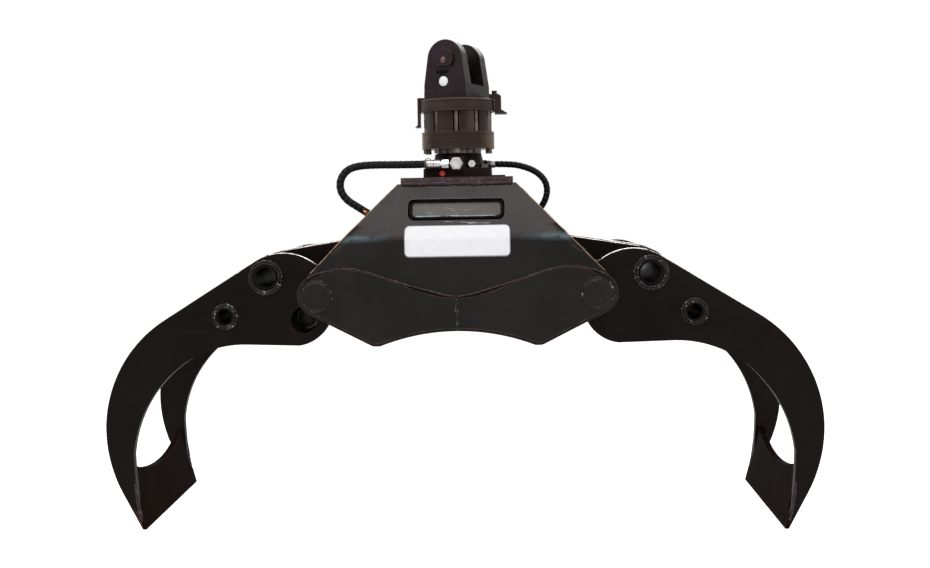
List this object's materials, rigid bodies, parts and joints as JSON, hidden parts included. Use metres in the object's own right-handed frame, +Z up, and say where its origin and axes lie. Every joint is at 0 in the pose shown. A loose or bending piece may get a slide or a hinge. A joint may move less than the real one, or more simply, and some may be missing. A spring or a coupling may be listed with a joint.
{
  "type": "log grapple",
  "caption": "Log grapple with two curved double-plate arms, blades at the tips, a bent-plate frame, a horizontal cylinder, hoses and a hydraulic rotator with a crane link on top.",
  "frame": {"origin": "on the ground, midway between the blades and midway between the front and rear plates", "axes": "+X from the left arm to the right arm, +Y away from the viewer of the front plate, +Z up towards the crane link"},
  "size_m": [1.794, 0.472, 1.244],
  "materials": {
    "black_paint": "satin",
    "dark_steel": "satin",
    "zinc_steel": "satin",
    "hard_chrome": "polished",
    "hose_rubber": "matte",
    "red_plastic": "satin"
  },
  "bodies": {
    "frame": {"banjo": "zinc_steel", "banjo_bolt": "zinc_steel", "flange_bolts": "dark_steel", "frame_front_plate": "black_paint", "frame_rear_plate": "black_paint", "frame_rib_left": "black_paint", "frame_rib_right": "black_paint", "front_cheeks": "black_paint", "head_plate": "black_paint", "hose_bulkheads": "dark_steel", "left_hose": "hose_rubber", "left_hose_end": "zinc_steel", "pivot_caps": "black_paint", "pivot_pin_left": "dark_steel", "pivot_pin_right": "dark_steel", "port_plug": "red_plastic", "rear_cheeks": "black_paint", "right_hose": "hose_rubber", "right_hose_end": "zinc_steel", "rotator_flange": "black_paint", "rotator_shaft": "dark_steel", "rotor": "dark_steel", "side_fitting": "zinc_steel", "side_tab": "black_paint", "window_backs": "black_paint"},
    "left_arm": {"left_front_plate": "black_paint", "left_rear_plate": "black_paint", "left_big_tube": "black_paint", "left_small_tube": "black_paint", "left_ears": "black_paint", "left_heel_plate": "black_paint", "left_tie_lug": "black_paint", "left_hub": "black_paint", "left_blade": "black_paint", "left_ear_pin": "dark_steel", "left_tie_pin": "dark_steel"},
    "right_arm": {"right_front_plate": "black_paint", "right_rear_plate": "black_paint", "right_big_tube": "black_paint", "right_small_tube": "black_paint", "right_ears": "black_paint", "right_heel_plate": "black_paint", "right_tie_lug": "black_paint", "right_hub": "black_paint", "right_blade": "black_paint", "right_ear_pin": "dark_steel", "right_tie_pin": "dark_steel"},
    "cylinder": {"cylinder_barrel": "black_paint", "cylinder_gland": "dark_steel"},
    "rod": {"piston_rod": "hard_chrome", "piston": "dark_steel"},
    "tie": {"tie_rod": "black_paint"},
    "rotator": {"lower_ring": "black_paint", "rotator_barrel": "black_paint", "upper_ring": "black_paint", "ring_bracket": "black_paint", "ring_lug": "black_paint", "tie_bolts": "dark_steel", "crane_link": "black_paint", "link_pin": "dark_steel"}
  },
  "joints": [
    {"name": "left_arm_hinge", "type": "hinge", "parent": "frame", "child": "left_arm", "pos_m": [-0.348, 0, 0.586], "axis": [0, -1, 0], "range_deg": [0, 64]},
    {"name": "right_arm_hinge", "type": "hinge", "parent": "frame", "child": "right_arm", "pos_m": [0.348, 0, 0.586], "axis": [0, 1, 0], "range_deg": [0, 64]},
    {"name": "cylinder_hinge", "type": "hinge", "parent": "left_arm", "child": "cylinder", "pos_m": [-0.248, 0, 0.686], "axis": [0, 1, 0], "range_deg": [0, 64]},
    {"name": "rod_hinge", "type": "hinge", "parent": "right_arm", "child": "rod", "pos_m": [0.248, 0, 0.686], "axis": [0, -1, 0], "range_deg": [0, 64]},
    {"name": "tie_rod_hinge", "type": "hinge", "parent": "left_arm", "child": "tie", "pos_m": [-0.387, -0.073, 0.524], "axis": [0, 1, 0], "range_deg": [0, 64]},
    {"name": "rotator_turn", "type": "hinge", "parent": "frame", "child": "rotator", "pos_m": [0, 0, 0.954], "axis": [0, 0, 1], "continuous": true}
  ],
  "couplings": [
    {"joint": "right_arm_hinge", "follows": "left_arm_hinge", "ratio": 1},
    {"joint": "cylinder_hinge", "follows": "left_arm_hinge", "ratio": 1},
    {"joint": "rod_hinge", "follows": "left_arm_hinge", "ratio": 1},
    {"joint": "tie_rod_hinge", "follows": "left_arm_hinge", "ratio": 1}
  ]
}
